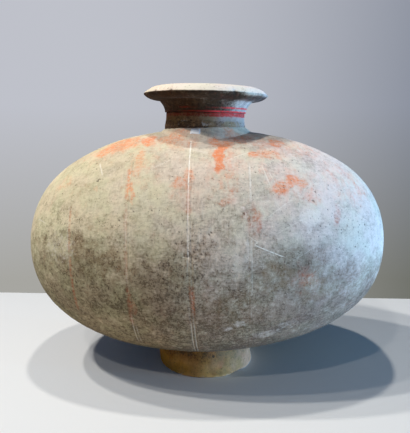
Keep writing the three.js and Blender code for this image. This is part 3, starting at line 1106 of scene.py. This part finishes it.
def between(paint, share, colours):
    """A colour on the way through three colours."""
    first = paint.mix(paint.ramp(share, 0, 0.5), *colours[:2])
    return paint.mix(paint.ramp(share, 0.5, 1), first, colours[2])


def clay_material(name, slip=SLIP, soiled=SOILED, deep=DEEP, reds=REDS):
    """Worn slip over clay, with soil, ochre stains, red pigment, chalk and dark pits, and painted
    light and shade on the neck, mouth and foot.
    """
    paint = ClayPaint(name)
    colour = soiled_slip(paint, slip, soiled, deep)
    colour = pigments(paint, colour, reds)
    colour = lines_and_scratches(paint, colour)
    paint.give("Base Color", specks_and_pits(paint, colour))
    paint.give("Roughness", paint.ramp(paint.fine, 0.3, 0.7, 0.8, 0.97))
    paint.give("Specular IOR Level", 0.25)
    paint.bump(paint.sum((paint.fine, 1), (paint.grain, 0.7), (paint.rub, 0.4)), 0.35)
    return paint.material


def soiled_slip(paint, slip, soiled, deep):
    """The slip, darker where soil has settled in it and where shade is painted in on the neck,
    mouth and foot, with paler crusts and drifting hues.
    """
    grain, fine, mottle = paint.grain, paint.fine, paint.mottle
    # The cool mark shifts each colour to its cool side: painted cool light on the right, partly
    # so on the body
    cool = paint.mark("cool")
    soil = paint.mark("soil")
    crusted = paint.mark("crust")
    clean = between(paint, cool, slip)
    rough = paint.ramp(crusted, 0, 1, 1, 1.75)
    shift = paint.sum((mottle, 1.25), (fine, 0.95), (paint.rub, 0.6), (paint.wipe, 0.4))
    dirt = paint.plus(soil, paint.times(shift, rough))
    colour = paint.mix(paint.ramp(dirt, -0.3, 1.1), clean, between(paint, cool, soiled))
    flecks = paint.times(paint.sum((fine, 1.9), (grain, 1.3), (mottle, 1.4)), rough)
    dark = paint.ramp(paint.plus(soil, flecks), 0.8, 1.5)
    colour = paint.mix(dark, colour, between(paint, cool, deep))
    stained = paint.times(paint.worn("ochre", mottle, 1.4, 0.1, 1), 0.75)
    colour = paint.mix(stained, colour, OCHRE)
    spots = paint.ramp(paint.sum((paint.noise(1.9, 5, 3, 0.65), 1), (mottle, 0.7)), 0.1, 0.3)
    paleness = paint.ramp(soil, 0.6, 1.3, 0.42, 0.02)
    paleness = paint.plus(paleness, paint.times(crusted, 0.28))
    colour = paint.mix(paint.times(spots, paleness), colour, clean)
    drift = paint.ramp(paint.noise(28, 10), 0.38, 0.62)
    tint = paint.mix(drift, (0.965, 0.985, 0.93), (1.03, 0.985, 0.98))
    return paint.mix(1, colour, tint, "MULTIPLY")


def pigments(paint, colour, reds):
    """Red pigment and chalk, worn thin and soft at their edges. Along the foot's resting edge the
    chalk mark is a painted highlight.
    """
    hue = paint.mix(paint.ramp(paint.mark("dull"), 0, 1), *reds)
    smear = paint.noise(6, 6, 5, 0.72, stretch=(1, 0.6, 0.6))
    red = paint.worn("red", smear, 1.9, 0, 1.15)
    thin = paint.sum((paint.fine, 1.6), (paint.rub, 0.9), (paint.grain, 0.5))
    thin = paint.plus(thin, paint.times(paint.mark("red"), 0.35))
    red = paint.times(red, paint.ramp(thin, 0, 0.6, 0.4, 1))
    colour = paint.mix(paint.times(red, 0.95), colour, hue)
    white = paint.worn("chalk", paint.noise(3.5, 7, 5, 0.7), 1.8, 0.15, 1.1)
    white = paint.times(white, paint.ramp(paint.rub, 0.35, 0.6, 0.5, 1))
    return paint.mix(paint.times(white, 0.8), colour, CHALK)


def lines_and_scratches(paint, colour):
    """Pale turned lines, partly red, and thin pale scratches."""
    gaps = paint.ramp(paint.noise(7, 8), 0.34, 0.52, 0.45, 1)
    colour = paint.mix(paint.times(paint.mark("line"), gaps), colour, PALE)
    rusty = paint.times(paint.mark("rust"), paint.ramp(paint.fine, 0.38, 0.58, 0.1, 0.7))
    colour = paint.mix(rusty, colour, paint.mix(paint.mark("dull"), ORANGE, RUST))
    off = paint.math("ABSOLUTE", paint.mark("scratch_off"))
    scratch = paint.times(paint.mark("scratch"), paint.ramp(off, 0.5, 1.6, 1, 0))
    scratch = paint.times(scratch, paint.ramp(paint.grain, 0.3, 0.55, 0.4, 1))
    return paint.mix(scratch, colour, PALE)


def specks_and_pits(paint, colour):
    """Fine dark specks, thick in some zones, and the dark pits."""
    dots = paint.plus(paint.noise(1.5, 11, 2, 0.5), paint.sum((paint.mottle, 0.22)))
    dots = paint.plus(dots, paint.times(paint.mark("speck"), 0.085))
    colour = paint.mix(paint.times(paint.ramp(dots, 0.655, 0.735), 0.68), colour, PIT)
    pits = paint.times(paint.worn("pit", paint.grain, 0.7, 0.25, 0.95), 0.85)
    return paint.mix(pits, colour, PIT)


def paper_material():
    paint = Paint("blank_paper")
    fibre = paint.noise(0.5, 3)
    shade = paint.ramp(fibre, 0.3, 0.7)
    paint.give("Base Color", paint.mix(shade, (0.9, 0.9, 0.89), (0.95, 0.95, 0.94)))
    paint.give("Roughness", 0.7)
    paint.bump(fibre, 0.05)
    return paint.material


def floor_material():
    """Plain paint, which throws a warmer light on the jar than the camera sees."""
    paint = Paint("floor_paint")
    paint.give("Base Color", paint.mix(paint.seen(), FLOOR_BOUNCE, FLOOR_SEEN))
    paint.give("Roughness", 0.8)
    return paint.material


def dress(obj, material, node=None):
    obj.data.materials.append(material)
    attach(obj, "root")
    if node:
        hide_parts(node)


def make_camera():
    camera = bpy.data.cameras.new("camera")
    camera.sensor_fit = "VERTICAL"
    camera.sensor_height = CAMERA_SENSOR
    camera.lens = CAMERA_LENS
    obj = new_object("camera", camera)
    obj.location = CAMERA_PLACE
    obj.rotation_euler = (math.radians(90 - CAMERA_DIP), 0, math.radians(CAMERA_TURN))
    bpy.context.scene.camera = obj


def make_lamp(name, place, target, size, power, colour):
    data = bpy.data.lights.new(name, "AREA")
    data.shape = "DISK"
    data.size = size
    data.energy = power
    data.color = colour
    obj = new_object(name, data)
    obj.location = place
    way = Vector(target) - Vector(place)
    obj.rotation_euler = way.to_track_quat("-Z", "Y").to_euler()


def make_world():
    """A faint cool light, mostly from the front, and the grey wall that the camera sees, with
    painted light and shade across the wall.
    """
    world = bpy.data.worlds.new("world")
    world.use_nodes = True
    bpy.context.scene.world = world
    nodes = Nodes(world.node_tree)
    direction = nodes.node("TexCoord").outputs["Generated"]
    x, y, z = nodes.node("SeparateXYZ", {0: direction}).outputs
    fill = nodes.tree.nodes["Background"]
    strength = nodes.ramp(y, *FILL_FADE, FILL_BEHIND, FILL_IN_FRONT, "LINEAR")
    nodes.feed(fill.inputs["Color"], FILL_LIGHT)
    nodes.feed(fill.inputs["Strength"], strength)
    across = nodes.ramp(x, *WALL_FADE_ACROSS, kind="LINEAR")
    across = nodes.math("POWER", across, WALL_BEND)
    down = nodes.ramp(z, *WALL_FADE_DOWN, kind="LINEAR")
    shade = nodes.mix(down, nodes.mix(across, *WALL_HIGH), nodes.mix(across, *WALL_LOW))
    wall = nodes.node("Background", {"Color": shade})
    inputs = {0: nodes.seen(), 1: fill.outputs[0], 2: wall.outputs[0]}
    mixed = nodes.node("MixShader", inputs)
    nodes.feed(nodes.tree.nodes["World Output"].inputs["Surface"], mixed.outputs[0])


def make_floor():
    left, right = FLOOR_LEFT_RIGHT
    near, far = FLOOR_NEAR_FAR
    corners = [(left, near), (right, near), (right, far), (left, far)]
    points = np.array([(x, y, z) for z in (-FLOOR_THICKNESS, 0) for x, y in corners])
    faces = [[3, 2, 1, 0], [4, 5, 6, 7]]
    faces += [[i, (i + 1) % 4, 4 + (i + 1) % 4, 4 + i] for i in range(4)]
    floor = make_mesh("floor", points, faces)
    floor.data.polygons.foreach_set("use_smooth", [False] * len(faces))
    floor.data.materials.append(floor_material())


def make_jar():
    body = clay_material("body_slip")
    neck = clay_material("neck_clay", NECK_SLIP, NECK_SOIL_AND_SHADE, NECK_DEEP_SOIL_AND_SHADE, NECK_REDS_LIT_AND_SHADED)
    mouth = clay_material("mouth_slip", MOUTH_SLIP, MOUTH_SOIL_AND_SHADE, MOUTH_DEEP_SOIL_AND_SHADE, NECK_REDS_LIT_AND_SHADED)
    foot = clay_material("foot_clay", FOOT_SLIP, FOOT_SOIL_AND_SHADE, FOOT_DEEP_SOIL_AND_SHADE)
    bare = clay_material("bare_clay", BARE_CLAY)
    dress(bowl_skin("left_bowl_skin", -1), body, "body_left_half")
    dress(bowl_skin("right_bowl_skin", 1), body, "body_right_half")
    dress(coil_skin("collar_skin", collar_coil()), body, "neck_collar")
    tube = thrown_ring("neck_skin", neck_profile(), upright_on_neck, worn_neck)
    dress(tube, neck, "neck")
    flange = thrown_ring("mouth_skin", mouth_profile(), upright_on_neck, worn_mouth)
    dress(flange, mouth, "mouth_rim")
    ring = thrown_ring("foot_skin", foot_profile(), round_spots, worn_foot)
    dress(ring, foot, "foot_ring")
    dress(band_skin(), bare, "inner_seam_band")
    dress(coil_skin("root_coil_skin", root_coil()), bare, "foot_root_coil")
    dress(blank_tag(), paper_material())


make_camera()
for lamp in LAMPS:
    make_lamp(*lamp)
make_world()
make_floor()
make_jar()

bpy.context.scene.view_settings.view_transform = "Standard"
